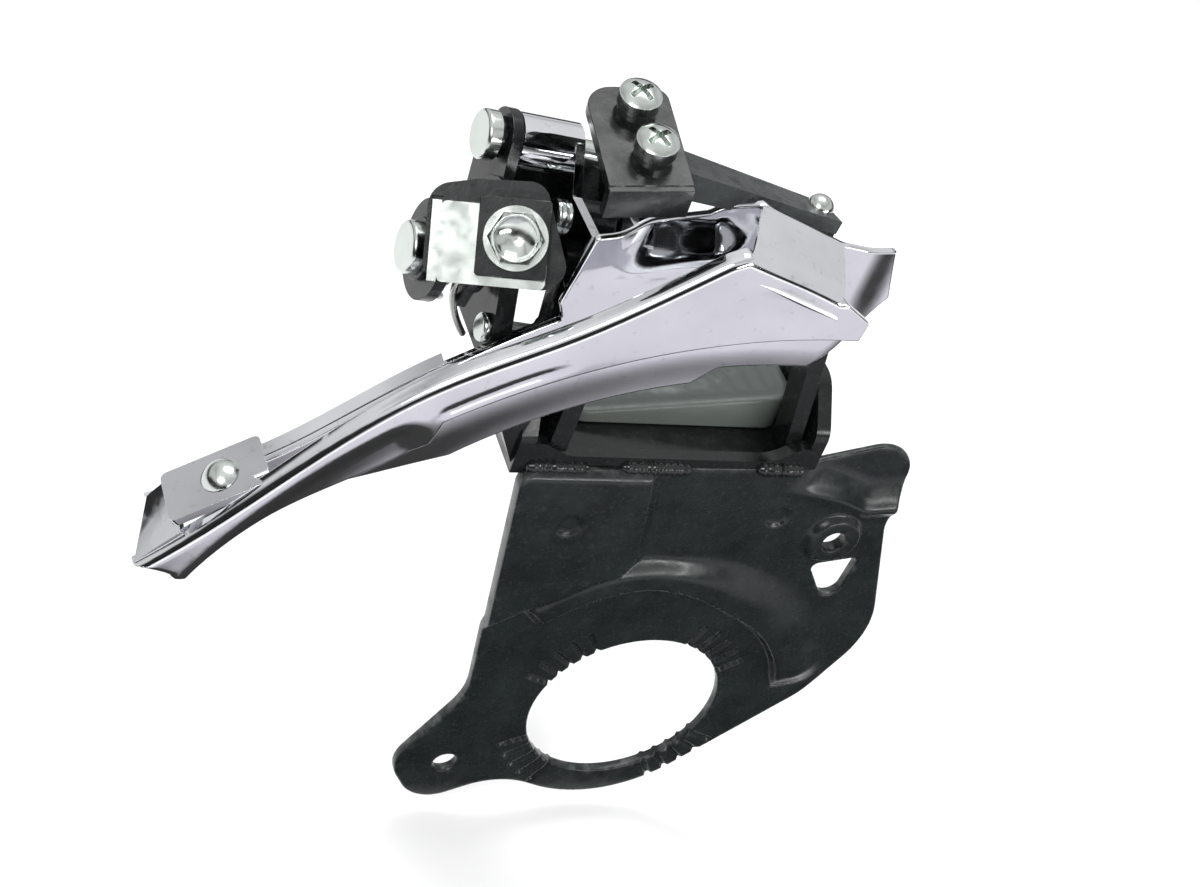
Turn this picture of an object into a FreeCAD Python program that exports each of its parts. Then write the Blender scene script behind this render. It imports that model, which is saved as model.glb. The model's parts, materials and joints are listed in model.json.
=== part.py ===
import FreeCAD, Part
import math
import os

# Bicycle front derailleur with a bottom-bracket mounting plate, for a triple chainset.
# Frame: origin on the axis of the bottom-bracket hole, in the plate's outer face.
# +X points to the front of the bicycle, +Y inwards to the seat tube, +Z up. Millimetres.

os.makedirs("parts", exist_ok=True)

V = FreeCAD.Vector

# ---------------------------------------------------------------- driving dimensions
PLATE_THICK = 2.0           # pressed steel mounting plate
HOLE_RADIUS = 17.5          # clears the bottom-bracket cup thread
RIB_RAISE = 1.6             # pressed rib and panel stand this far out of the plate
REAR_HOLE_RADIUS = 2.2
FRONT_HOLE_RADIUS = 2.1

SHEET = 1.25                # cage plate thickness
OUTER_FACE = -14.0          # outer face of the outer cage plate
INNER_FACE = -3.3           # chain side face of the inner cage plate
OUTER_EDGE_RADIUS = 98.0    # lower edge of the outer plate, about the crank axis
INNER_EDGE_RADIUS = 81.0    # lower edge of the inner plate

PIVOT_X = -46.0             # lower inner pivot, at station 0 along its axis
PIVOT_Y = 9.5
PIVOT_Z = 89.9
AXIS_DROP = 6.0             # pivot axes point down to the front by this angle
LINK_Y = 6.5                # upper pivots from lower pivots, across
LINK_Z = 16.8               # and up
PAIR_Y = -7.5               # outer pivots from inner pivots, across
PAIR_Z = -6.6               # and up

PIN_RADIUS = 2.0            # inner link pins
SMALL_PIN_RADIUS = 1.5      # outer link pins
RUN_GAP = 0.05              # radial clearance of a pin in a moving eye

TUBE_RADIUS = 17.4          # seat tube that the pad bears on
TUBE_X = -9.0
TUBE_Y = 32.8
SHELF_Z = 56.6              # underside of the bracket shelf
SHELF_THICK = 2.4

# Points of the pivot square in the link frame (y, z); x there runs along the pins.
FIX_IN = (0.0, 0.0)
FIX_OUT = (PAIR_Y, PAIR_Z)
MOVE_IN = (LINK_Y, LINK_Z)
MOVE_OUT = (LINK_Y + PAIR_Y, LINK_Z + PAIR_Z)


# ---------------------------------------------------------------- helpers
def save(name, shape):
    """Write one node."""
    clean = shape.removeSplitter()
    if not clean.isValid():
        print("not valid:", name)
    clean.exportStep("parts/" + name + ".step")
    box = clean.BoundBox
    print(name, len(clean.Solids), round(clean.Volume, 1),
          [round(v, 1) for v in (box.XMin, box.XMax, box.YMin, box.YMax, box.ZMin, box.ZMax)])


def fuse(shapes):
    """Join solids that touch or overlap."""
    first = shapes[0]
    return first.multiFuse(shapes[1:]) if len(shapes) > 1 else first


def corner_arc(before, corner, after, radius):
    """Ends and middle of the arc that rounds one corner."""
    a = (before - corner).normalize()
    b = (after - corner).normalize()
    half = a.getAngle(b) / 2.0
    reach = radius / math.tan(half)
    middle = (a + b).normalize()
    centre = corner + middle * (radius / math.sin(half))
    return corner + a * reach, centre - middle * radius, corner + b * reach


def outline(points, radii):
    """Closed face through the points, each corner rounded by its radius."""
    count = len(points)
    ends = []
    for i in range(count):
        if radii[i] > 0:
            ends.append(corner_arc(points[i - 1], points[i], points[(i + 1) % count], radii[i]))
        else:
            ends.append((points[i], None, points[i]))
    edges = []
    for i in range(count):
        enter, middle, leave = ends[i]
        if middle is not None:
            edges.append(Part.Arc(enter, middle, leave).toShape())
        following = ends[(i + 1) % count][0]
        if (following - leave).Length > 0.001:
            edges.append(Part.LineSegment(leave, following).toShape())
    return Part.Face(Part.Wire(edges))


def side_plate(points, radii, y_low, y_high):
    """Flat plate drawn in side view (x, z) and thickened along y."""
    face = outline([V(x, y_low, z) for x, z in points], radii)
    return face.extrude(V(0, y_high - y_low, 0))


def plan_plate(points, radii, z_low, z_high):
    """Flat plate drawn in plan view (x, y) and thickened along z."""
    face = outline([V(x, y, z_low) for x, y in points], radii)
    return face.extrude(V(0, 0, z_high - z_low))


def cross_plate(points, radii, x_low, x_high):
    """Flat plate drawn across the pins (y, z) and thickened along them."""
    face = outline([V(x_low, y, z) for y, z in points], radii)
    return face.extrude(V(x_high - x_low, 0, 0))


def rod(centre, x_low, x_high, radius):
    """Cylinder along the pins, at (y, z)."""
    return Part.makeCylinder(radius, x_high - x_low, V(x_low, centre[0], centre[1]), V(1, 0, 0))


def bar(first, first_radius, second, second_radius, x_low, x_high):
    """Two round eyes joined by their common tangents."""
    a = V(0, first[0], first[1])
    b = V(0, second[0], second[1])
    along = (b - a).normalize()
    side = V(0, -along.z, along.y)
    lean = math.asin((first_radius - second_radius) / (b - a).Length)
    shapes = [rod(first, x_low, x_high, first_radius), rod(second, x_low, x_high, second_radius)]
    corners = []
    for sign in (1, -1):
        normal = side * (sign * math.cos(lean)) + along * math.sin(lean)
        corners.append((a + normal * first_radius, b + normal * second_radius))
    loop = [corners[0][0], corners[0][1], corners[1][1], corners[1][0]]
    shift = V(x_low, 0, 0)
    wire = Part.makePolygon([p + shift for p in loop + loop[:1]])
    shapes.append(Part.Face(wire).extrude(V(x_high - x_low, 0, 0)))
    return fuse(shapes)


def in_links(shape):
    """Carry a shape from the link frame to the derailleur frame."""
    placed = shape.copy()
    placed.rotate(V(0, 0, 0), V(0, 1, 0), AXIS_DROP)
    placed.translate(V(PIVOT_X, PIVOT_Y, PIVOT_Z))
    return placed


def polar(radius, degrees, y):
    """Point at a radius and angle about the crank axis."""
    angle = math.radians(degrees)
    return V(radius * math.cos(angle), y, radius * math.sin(angle))


def crank_arc(radius, start, end, y):
    """Arc about the crank axis."""
    middle = (start + end) / 2.0
    return Part.Arc(polar(radius, start, y), polar(radius, middle, y), polar(radius, end, y)).toShape()


def curve(points):
    """Smooth edge through a few points."""
    spline = Part.BSplineCurve()
    spline.interpolate(points)
    return spline.toShape()


def line(a, b):
    return Part.LineSegment(a, b).toShape()


# ---------------------------------------------------------------- mounting plate
def ring_sector(inner, outer, start, end, y_low, y_high):
    """Part of a flat ring about the crank axis."""
    face = Part.Face(Part.Wire([
        crank_arc(outer, start, end, y_low),
        line(polar(outer, end, y_low), polar(inner, end, y_low)),
        crank_arc(inner, end, start, y_low),
        line(polar(inner, start, y_low), polar(outer, start, y_low))]))
    return face.extrude(V(0, y_high - y_low, 0))


def mounting_plate():
    points = [(-37.2, 58.0), (-30.4, 4.0), (-39.8, -14.0), (-32.6, -25.0), (-18.0, -18.0),
              (4.0, -27.6), (34.4, 3.4), (42.4, 19.5), (33.2, 46.5), (34.4, 65.5), (14.0, 59.0)]
    radii = [3.0, 12.0, 6.5, 7.0, 14.0, 23.0, 14.0, 18.0, 8.0, 6.5, 6.0]
    blank = side_plate(points, radii, 0.0, PLATE_THICK)
    arch = ring_sector(28.5, 36.5, 17.0, 137.0, -RIB_RAISE, 0.0)
    panel_points = [(-35.8, 56.5), (-32.6, 24.0), (-21.0, 29.5), (-9.5, 35.0), (-15.5, 56.5)]
    panel = side_plate(panel_points, [2.0, 3.0, 20.0, 3.0, 2.0], -RIB_RAISE, 0.0)
    tab_points = [(15.5, 58.5), (19.0, 50.5), (32.0, 51.5), (32.0, 62.5), (24.5, 61.5)]
    tab = side_plate(tab_points, [2.0, 4.0, 3.0, 4.0, 4.0], -RIB_RAISE, 0.0)
    boss = Part.makeCylinder(5.6, RIB_RAISE, V(24.0, -RIB_RAISE, 43.4), V(0, 1, 0))
    plate = fuse([blank, arch, panel, tab, boss])
    plate = plate.cut(Part.makeCylinder(HOLE_RADIUS, 3 * PLATE_THICK, V(0, -PLATE_THICK, 0), V(0, 1, 0)))
    rear = Part.makeCylinder(REAR_HOLE_RADIUS, 3 * PLATE_THICK, V(-29.5, -PLATE_THICK, -14.0), V(0, 1, 0))
    front = Part.makeCylinder(FRONT_HOLE_RADIUS, 4 * PLATE_THICK, V(24.0, -3 * PLATE_THICK, 43.4), V(0, 1, 0))
    window = side_plate([(22.6, 36.6), (31.6, 38.6), (30.5, 25.0)], [1.2, 1.2, 2.2], -PLATE_THICK, 2 * PLATE_THICK)
    plate = plate.cut(fuse([rear, front, window]))
    for middle in (50.0, 140.0, 222.0, 318.0):
        for step in range(-2, 3):
            angle = math.radians(middle + 8.5 * step)
            groove = Part.makeBox(5.5, 0.5, 0.9, V(HOLE_RADIUS - 0.4, -0.1, -0.45))
            groove.rotate(V(0, 0, 0), V(0, 1, 0), -math.degrees(angle))
            plate = plate.cut(groove)
    for x, z in ((-25.5, 47.5), (11.6, 49.0)):
        face_y = -RIB_RAISE if x < 0 else 0.0
        plate = plate.cut(Part.makeCylinder(2.2, 0.6, V(x, face_y, z), V(0, 1, 0)))
    return plate


# ---------------------------------------------------------------- linkage bracket
def pivot_ear(x_low, x_high):
    """Rounded ear that carries both fixed pins, with its stem, in the link frame."""
    ear = bar(FIX_IN, 5.0, FIX_OUT, 2.6, x_low, x_high)
    stem = cross_plate([(-8.6, -6.5), (-8.6, -11.0), (3.2, -11.0), (4.9, 0.0)], [0, 0, 0, 0], x_low, x_high)
    return fuse([ear, stem])


def pin_holes(shape, centres, radius):
    """Bore a shape in the link frame at each (y, z)."""
    for centre in centres:
        shape = shape.cut(rod(centre, -60, 60, radius))
    return shape


REAR_EAR = (-3.0, 0.0)
FRONT_EAR = (14.5, 17.5)


def linkage_bracket(plate):
    """Shelf on the mounting plate, two pivot ears on legs, and the walls round the pad."""
    top = SHELF_Z + SHELF_THICK
    shelf_points = [(-38.5, 0.0), (14.5, 0.0), (14.5, 22.5), (-34.0, 22.5), (-38.5, 14.0)]
    shelf = plan_plate(shelf_points, [2.5, 2.5, 5.0, 5.0, 5.0], SHELF_Z, top)
    skirt_points = [(-38.0, SHELF_Z), (-38.0, 65.0), (-30.0, 60.4), (6.0, 60.4), (14.2, 66.0), (14.2, SHELF_Z)]
    skirt = side_plate(skirt_points, [0, 3.0, 6.0, 6.0, 3.0, 0], 0.0, 2.2)
    rear_points = [(0.0, SHELF_Z), (0.0, 63.5), (4.0, 71.0), (18.0, 71.0), (21.5, 65.0), (21.5, SHELF_Z)]
    rear_wall = cross_plate(rear_points, [0, 3.0, 4.0, 4.0, 4.0, 0], -38.5, -35.9)
    front_points = [(0.4, SHELF_Z), (0.4, 66.0), (7.0, 73.0), (13.0, 73.0), (18.5, 66.0), (18.5, SHELF_Z)]
    front_wall = cross_plate(front_points, [0, 4.0, 5.0, 5.0, 4.0, 0], 12.0, 14.5)
    leg_points = [(-38.5, 58.0), (-35.5, 58.0), (-43.4, 80.0), (-46.6, 83.5), (-49.0, 83.0), (-49.2, 79.0)]
    rear_leg = side_plate(leg_points, [0, 0, 6.0, 0, 0.6, 3.0], 0.9, 12.7)
    front_leg = side_plate([(-33.2, 58.0), (-30.0, 58.0), (-30.0, 82.0), (-33.0, 82.0)], [0, 0, 0, 0], 0.9, 12.7)
    rear_ear = in_links(pivot_ear(*REAR_EAR))
    front_ear = in_links(pivot_ear(*FRONT_EAR))
    body = fuse([shelf, skirt, rear_wall, front_wall, rear_leg, front_leg, rear_ear, front_ear])
    body = body.cut(Part.makeCylinder(TUBE_RADIUS + 1.5, 60, V(TUBE_X, TUBE_Y, SHELF_Z - 20), V(0, 0, 1)))
    bores = [in_links(rod(FIX_IN, -60, 60, PIN_RADIUS)), in_links(rod(FIX_OUT, -60, 60, SMALL_PIN_RADIUS))]
    return body.cut(fuse(bores + [plate]))


POST_Y = (2.3, 7.4)


def front_post(cover):
    """Arm that rises in front of the seat tube and carries the cover."""
    points = [(11.6, SHELF_Z + SHELF_THICK), (9.0, SHELF_Z + SHELF_THICK), (5.0, 84.0), (-2.9, 100.5),
              (-2.9, 106.4), (-0.5, 106.4), (-0.5, 101.0), (7.6, 85.5)]
    return side_plate(points, [0, 0, 12.0, 4.0, 0, 0, 4.0, 14.0], *POST_Y).cut(cover)


def weld_beads():
    """Short round beads where the shelf meets the mounting plate."""
    beads = []
    behind = Part.makeBox(80.0, 4.0, 10.0, V(-50.0, 0.0, 54.0))
    for x, z, length in ((-31.0, 58.1, 8.0), (-14.0, 58.4, 10.0), (8.0, 58.8, 6.0)):
        bead = Part.makeCylinder(1.3, length, V(x - length / 2.0, 0.0, z), V(1, 0, 0))
        for end in (-length / 2.0, length / 2.0):
            bead = bead.fuse(Part.makeSphere(1.3, V(x + end, 0.0, z)))
        beads.append(bead.cut(behind))
    return beads


PAD_RISE = 7.5              # the pad's top face climbs to the front


def frame_pad():
    """Moulded saddle between the bracket and the seat tube."""
    base = SHELF_Z + SHELF_THICK
    points = [(-27.5, 9.3), (11.6, 9.3), (11.6, 22.3), (-27.5, 22.3)]
    body = plan_plate(points, [4.0, 4.0, 1.5, 1.5], base, base + 9.0)
    above = Part.makeBox(60.0, 30.0, 20.0, V(0, 0, 0))
    above.rotate(V(0, 0, 0), V(0, 1, 0), -PAD_RISE)
    above.translate(V(-30.0, 0.0, base + 2.2))
    body = body.cut(above)
    return body.cut(Part.makeCylinder(TUBE_RADIUS, 60, V(TUBE_X, TUBE_Y, SHELF_Z - 20), V(0, 0, 1)))


# ---------------------------------------------------------------- fixed cover with the limit screws
COVER_CENTRE = V(6.5, -5.7, 27.5)   # middle of the limit screw plate's underside, link frame
COVER_TILT = 14.0                   # the plate rises to the front
COVER_FALL = 11.0                   # and falls to the outside
COVER_THICK = 1.8
SCREW_SPOTS = ((0.8, 4.7), (1.4, -3.9))


def cover_frame(shape):
    """Tilt a shape drawn flat at the limit screw plate."""
    placed = shape.copy()
    placed.rotate(V(0, 0, 0), V(0, 1, 0), -COVER_TILT)
    placed.rotate(V(0, 0, 0), V(1, 0, 0), COVER_FALL)
    placed.translate(COVER_CENTRE)
    return in_links(placed)


def limit_plate():
    """Plate over the linkage with a folded outer lip."""
    outline_points = [(-6.0, -9.3), (6.2, -9.3), (6.2, 9.2), (-6.0, 9.2)]
    top = plan_plate(outline_points, [0, 0, 2.5, 4.0], 0.0, COVER_THICK)
    lip = Part.makeBox(12.2, 1.8, 5.4, V(-6.0, -10.2, -3.8))
    holes = []
    for x, y in SCREW_SPOTS:
        holes.append(Part.makeCylinder(1.95, 12, V(x, y, -6), V(0, 0, 1)))
    return cover_frame(fuse([top, lip]).cut(fuse(holes)))


def cover_blade(plate, rivet):
    """Long narrow cover in front of the limit screws, with a blank face."""
    root = [V(11.2, -9.8, 28.2), V(11.2, -3.0, 29.5), V(11.2, -3.0, 24.6), V(11.2, -9.8, 23.6)]
    middle = [V(14.2, -10.2, 27.4), V(14.2, -3.0, 26.6), V(14.2, -3.0, 23.8), V(14.2, -10.2, 22.9)]
    tip = [V(41.8, -9.9, 23.7), V(41.8, -3.8, 22.5), V(41.8, -3.8, 20.8), V(41.8, -9.9, 21.5)]
    rings = [Part.makePolygon(ring + ring[:1]) for ring in (root, middle, tip)]
    rear = Part.makeLoft(rings[:2], True, True)
    blade = rear.fuse(Part.makeLoft(rings[1:], True, True))
    return in_links(blade).cut(plate).cut(rivet)


def cover_rivet():
    """Domed rivet that holds the cover's front end on the post."""
    spot = V(39.6, -6.2, 0)
    shank = Part.makeCylinder(1.1, 4.2, spot + V(0, 0, 20.4), V(0, 0, 1))
    head = Part.makeSphere(2.2, spot + V(0, 0, 23.0)).common(Part.makeBox(6, 6, 4, spot + V(-3, -3, 23.6)))
    return in_links(fuse([shank, head]))


def limit_screw(index):
    """Cross-recess screw with a collar under its head."""
    spot = V(SCREW_SPOTS[index][0], SCREW_SPOTS[index][1], 0)
    shank = Part.makeCylinder(1.9, 7.6, spot + V(0, 0, -3.6), V(0, 0, 1))
    collar = Part.makeCylinder(2.7, 1.4, spot + V(0, 0, COVER_THICK), V(0, 0, 1))
    head = Part.makeCylinder(3.1, 1.8, spot + V(0, 0, 3.2), V(0, 0, 1))
    dome = Part.makeSphere(5.2, spot + V(0, 0, 0.9)).common(Part.makeCylinder(3.1, 3.0, spot + V(0, 0, 5.0)))
    screw = fuse([shank, collar, head, dome])
    for turn in (0, 90):
        slot = Part.makeBox(4.0, 0.8, 3.0, spot + V(-2.0, -0.4, 4.4))
        slot.rotate(spot, V(0, 0, 1), turn + 30)
        screw = screw.cut(slot)
    return cover_frame(screw)


# ---------------------------------------------------------------- inner link and cable arm
LINK_REAR = (-6.5, -4.8)
LINK_FRONT = (19.0, 20.7)


def across_link(offset, rise):
    """Point beside the line of the inner link: offset inwards, rise along it."""
    length = math.hypot(LINK_Y, LINK_Z)
    ey, ez = LINK_Y / length, LINK_Z / length
    return (rise * ey + offset * ez, rise * ez - offset * ey)


def inner_link():
    """Two ears joined by a web on the seat tube side."""
    rear = bar(FIX_IN, 5.2, MOVE_IN, 4.4, *LINK_REAR)
    front = bar(FIX_IN, 5.2, MOVE_IN, 4.4, *LINK_FRONT)
    web_points = [across_link(5.6, -1.5), across_link(7.2, -1.5), across_link(7.2, 18.0), across_link(5.6, 18.0)]
    web = cross_plate(web_points, [0, 0, 0, 0], LINK_REAR[0], LINK_FRONT[1])
    shoulders = []
    for stations in (LINK_REAR, LINK_FRONT):
        pad = [across_link(0.0, 1.0), across_link(7.2, 1.0), across_link(7.2, 16.5), across_link(0.0, 16.5)]
        shoulders.append(cross_plate(pad, [0, 0, 0, 0], *stations))
    body = fuse([rear, front, web] + shoulders)
    return in_links(pin_holes(body, [FIX_IN, MOVE_IN], PIN_RADIUS + RUN_GAP))


SEAT_NORMAL = V(-0.42, -0.74, 0.53).normalize()
SEAT_RIGHT = V(0.905, -0.30, 0.30)
SEAT_POINT = V(-5.4, -8.2, 10.2)


def seat_axes():
    """Right, up and outward directions of the cable seat, square to each other."""
    right = (SEAT_RIGHT - SEAT_NORMAL * SEAT_RIGHT.dot(SEAT_NORMAL)).normalize()
    return right, SEAT_NORMAL.cross(right), SEAT_NORMAL


def seat_place(shape, along=0.0):
    """Carry a shape drawn flat (x right, y up, z outward) onto the cable seat."""
    right, up, out = seat_axes()
    origin = SEAT_POINT + out * along
    matrix = FreeCAD.Matrix(right.x, up.x, out.x, origin.x, right.y, up.y, out.y, origin.y,
                            right.z, up.z, out.z, origin.z, 0, 0, 0, 1)
    return shape.transformed(matrix, True)


DISC_STATIONS = (-13.6, -11.8)
ARM_THICK = 2.4
BOLT_RADIUS = 2.45


def flat_plate(points, radii, low, high):
    """Plate drawn in the plane of the cable seat."""
    face = outline([V(x, y, low) for x, y in points], radii)
    return face.extrude(V(0, 0, high - low))


def cable_arm():
    """Cable seat plate, its rounded rear wall and the sleeve on the lower pin."""
    disc = rod(FIX_IN, DISC_STATIONS[0], DISC_STATIONS[1], 7.4)
    sleeve = rod(FIX_IN, DISC_STATIONS[0], LINK_REAR[0], 3.4)
    points = [(-12.6, -6.9), (-12.6, 6.4), (-6.0, 7.8), (3.6, 8.2), (7.9, -4.6), (5.0, -6.9)]
    seat = seat_place(flat_plate(points, [2.5, 3.5, 3.0, 3.0, 3.0, 3.0], -ARM_THICK, 0.0))
    bolt_hole = seat_place(Part.makeCylinder(BOLT_RADIUS, 12, V(0, 0, -8), V(0, 0, 1)))
    tie_points = [(-5.6, -5.0), (-8.2, 9.8), (-1.8, 15.5), (4.0, 12.0), (3.0, 0.0)]
    tie = cross_plate(tie_points, [0, 2.0, 2.0, 2.0, 0], LINK_REAR[0] - 1.4, LINK_REAR[0])
    clamp_room = Part.makeBox(17.2, 12.2, 9.0, V(-12.1, -7.2, 0))
    lip_room = Part.makeBox(1.6, 12.2, 2.0, V(-12.1, -7.2, -1.1))
    nut_room = Part.makeCylinder(4.7, 4.6, V(0, 0, -ARM_THICK - 4.6), V(0, 0, 1))
    arm = fuse([disc, sleeve, tie, seat])
    arm = arm.cut(fuse([seat_place(clamp_room), seat_place(lip_room), seat_place(nut_room), bolt_hole]))
    return in_links(arm.cut(rod(FIX_IN, -30, 30, PIN_RADIUS + RUN_GAP)))


def cable_clamp_plate():
    """Folded plate that grips the cable under the bolt."""
    points = [(-10.6, -6.9), (-10.6, 4.4), (4.6, 4.4), (4.6, -6.9)]
    plate = flat_plate(points, [0.8, 0.8, 1.0, 1.0], 0.05, 1.35)
    lip = flat_plate([(-11.9, -6.9), (-11.9, 4.4), (-10.6, 4.4), (-10.6, -6.9)], [0, 0, 0, 0], -1.0, 1.35)
    hole = Part.makeCylinder(BOLT_RADIUS, 6, V(0, 0, -2), V(0, 0, 1))
    return in_links(seat_place(fuse([plate, lip]).cut(hole)))


def clamp_washer():
    """Square washer between the clamp plate and the bolt head."""
    plate = flat_plate([(-5.4, -5.6), (-5.4, 5.6), (4.7, 5.6), (4.7, -5.6)], [0.6] * 4, 1.35, 2.35)
    return in_links(seat_place(plate.cut(Part.makeCylinder(BOLT_RADIUS, 6, V(0, 0, 0), V(0, 0, 1)))))


def hexagon(across_flats, low, high, centre=V(0, 0, 0)):
    """Hexagonal prism along z."""
    reach = across_flats / math.sqrt(3.0)
    points = []
    for k in range(6):
        angle = math.radians(60 * k)
        points.append(centre + V(reach * math.cos(angle), reach * math.sin(angle), low))
    return Part.Face(Part.makePolygon(points + points[:1])).extrude(V(0, 0, high - low))


def cable_bolt():
    """Flanged hexagon bolt with a dished head."""
    flange = Part.makeCylinder(4.55, 1.0, V(0, 0, 2.35), V(0, 0, 1))
    head = hexagon(7.0, 3.35, 6.4)
    crown = Part.makeCone(5.2, 3.1, 4.2, V(0, 0, 2.6), V(0, 0, 1))
    head = head.common(crown)
    dish = Part.makeSphere(4.0, V(0, 0, 8.9))
    shank = Part.makeCylinder(2.4, 7.9, V(0, 0, -5.4), V(0, 0, 1))
    return in_links(seat_place(fuse([flange, head, shank]).cut(dish)))


def cable_nut():
    """Hexagon nut behind the seat."""
    nut = hexagon(7.6, -ARM_THICK - 2.4, -ARM_THICK)
    return in_links(seat_place(nut.cut(Part.makeCylinder(2.4, 20, V(0, 0, -12), V(0, 0, 1)))))


# ---------------------------------------------------------------- outer link, pins, spring
LINK_TWO = (5.5, 11.6)


def outer_link():
    """Bar with an eye at each end."""
    lower = rod(FIX_OUT, LINK_TWO[0], LINK_TWO[1], 2.9)
    upper = rod(MOVE_OUT, LINK_TWO[0], LINK_TWO[1], 3.1)
    web = bar(FIX_OUT, 1.8, MOVE_OUT, 1.8, *LINK_TWO)
    body = fuse([lower, upper, web])
    return in_links(pin_holes(body, [FIX_OUT, MOVE_OUT], SMALL_PIN_RADIUS + RUN_GAP))


def headed_pin(centre, radius, head_radius, head_low, start, end, groove=None):
    """Pin with a domed head at its rear end and a clip groove near its front end."""
    shank = rod(centre, start, end, radius)
    head = rod(centre, head_low, start, head_radius)
    pin = fuse([shank, head])
    edges = [e for e in pin.Edges if abs(e.BoundBox.XMin - head_low) < 0.01 and e.BoundBox.XLength < 0.01]
    pin = pin.makeFillet(0.6, edges)
    if groove is not None:
        ring = rod(centre, groove, groove + 0.6, radius + 1).cut(rod(centre, groove, groove + 0.6, radius - 0.5))
        pin = pin.cut(ring)
    return pin


def spring_clip(centre, radius, station):
    """Open ring that snaps in a pin groove."""
    ring = rod(centre, station, station + 0.5, radius + 1.9).cut(rod(centre, station, station + 0.5, radius - 0.45))
    mouth = Part.makeBox(0.7, 2.0 * radius - 1.2, 6.0, V(station - 0.1, centre[0] - radius + 0.6, centre[1] - 6.0))
    return in_links(ring.cut(mouth))


def washer(centre, inner, outer, x_low, x_high):
    return in_links(rod(centre, x_low, x_high, outer).cut(rod(centre, x_low, x_high, inner)))


SPRING_WIRE = 1.1
SPRING_RADIUS = 4.5
SPRING_START = -11.2
SPRING_PITCH = 1.25
SPRING_SWEEP = 630          # degrees of coil between the two legs


def return_spring():
    """Torsion spring round the sleeve of the cable arm, with a leg to each side."""
    points = [V(SPRING_START, -6.0, -SPRING_RADIUS + 1.2), V(SPRING_START, -3.2, -SPRING_RADIUS + 0.2)]
    for degrees in range(0, SPRING_SWEEP + 1, 30):
        angle = math.radians(degrees)
        station = SPRING_START + SPRING_PITCH * degrees / 360.0
        points.append(V(station, SPRING_RADIUS * math.sin(angle), -SPRING_RADIUS * math.cos(angle)))
    last = points[-1]
    points.append(last + V(0.2, 0.0, -2.6))
    points.append(last + V(2.2, 0.3, -7.4))
    points.append(last + V(5.2, 1.0, -11.4))
    path = Part.Wire(curve(points))
    section = Part.Wire(Part.makeCircle(SPRING_WIRE / 2.0, points[0], points[1] - points[0]))
    return in_links(path.makePipeShell([section], True, False))


# ---------------------------------------------------------------- cage
def cage_strip(radii_and_angles, y):
    """Points of a cage edge about the crank axis."""
    return [polar(radius, degrees, y) for radius, degrees in radii_and_angles]


TOP_EDGE = [(108.6, 153.2), (105.2, 146.0), (104.6, 138.0), (105.6, 125.5), (106.4, 113.0), (110.4, 106.0),
            (113.2, 102.8)]


def outer_plate_face(y):
    """Side outline of the outer cage plate."""
    peak = V(-22.7, y, 111.6)
    notch = V(-5.2, y, 105.0)
    nose = V(0.4, y, 101.4)
    nose_low = polar(OUTER_EDGE_RADIUS, 90.0, y)
    curl = polar(OUTER_EDGE_RADIUS + 1.0, 126.5, y)
    low_edge = Part.Arc(nose_low, polar(OUTER_EDGE_RADIUS + 0.2, 108.0, y), curl).toShape()
    tail_profile = [(95.8, 128.6), (95.7, 134.0), (98.2, 140.4), (100.3, 146.5), (100.8, 152.2)]
    low_points = cage_strip(tail_profile, y)
    low_tail = curve(low_points)
    top = cage_strip(TOP_EDGE, y)
    edges = [low_edge, line(curl, low_points[0]), low_tail, line(low_points[-1], top[0]), curve(top),
             line(top[-1], peak), line(peak, notch),
             line(notch, nose), line(nose, nose_low)]
    return Part.Face(Part.Wire(Part.__sortEdges__(edges)))


def top_band(profile, depth, y):
    """Strip of even width just under a cage edge."""
    upper = cage_strip(profile, y)
    lower = cage_strip([(radius - depth, degrees) for radius, degrees in profile], y)
    edges = [curve(upper), line(upper[-1], lower[-1]), curve(lower), line(lower[0], upper[0])]
    return Part.Face(Part.Wire(Part.__sortEdges__(edges)))


def outer_cage_plate():
    """Outer plate, its turned-in upper edge and the bridge at the front."""
    plate = outer_plate_face(OUTER_FACE).extrude(V(0, SHEET, 0))
    roll = top_band(TOP_EDGE, 1.3, OUTER_FACE + SHEET).extrude(V(0, 1.6, 0))
    outer = [V(-22.7, OUTER_FACE, 111.6), V(-22.9, OUTER_FACE, 110.3), V(-5.5, OUTER_FACE, 103.8),
             V(-5.2, OUTER_FACE, 105.0)]
    inner = [V(-17.0, INNER_FACE, 112.8), V(-17.3, INNER_FACE, 111.5), V(-1.9, INNER_FACE, 105.8),
             V(-1.6, INNER_FACE, 107.0)]
    bridge = Part.makeLoft([Part.makePolygon(ring + ring[:1]) for ring in (outer, inner)], True, True)
    return fuse([plate, roll, bridge])


INNER_TOP = [(108.4, 150.8), (102.0, 146.0), (98.6, 141.0), (97.2, 134.0), (97.4, 125.0), (99.0, 114.6)]
RIM_WIDE = 2.4              # the turned-in edge behind the pivot ears
RIM_NARROW = 0.7            # and beside them


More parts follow.
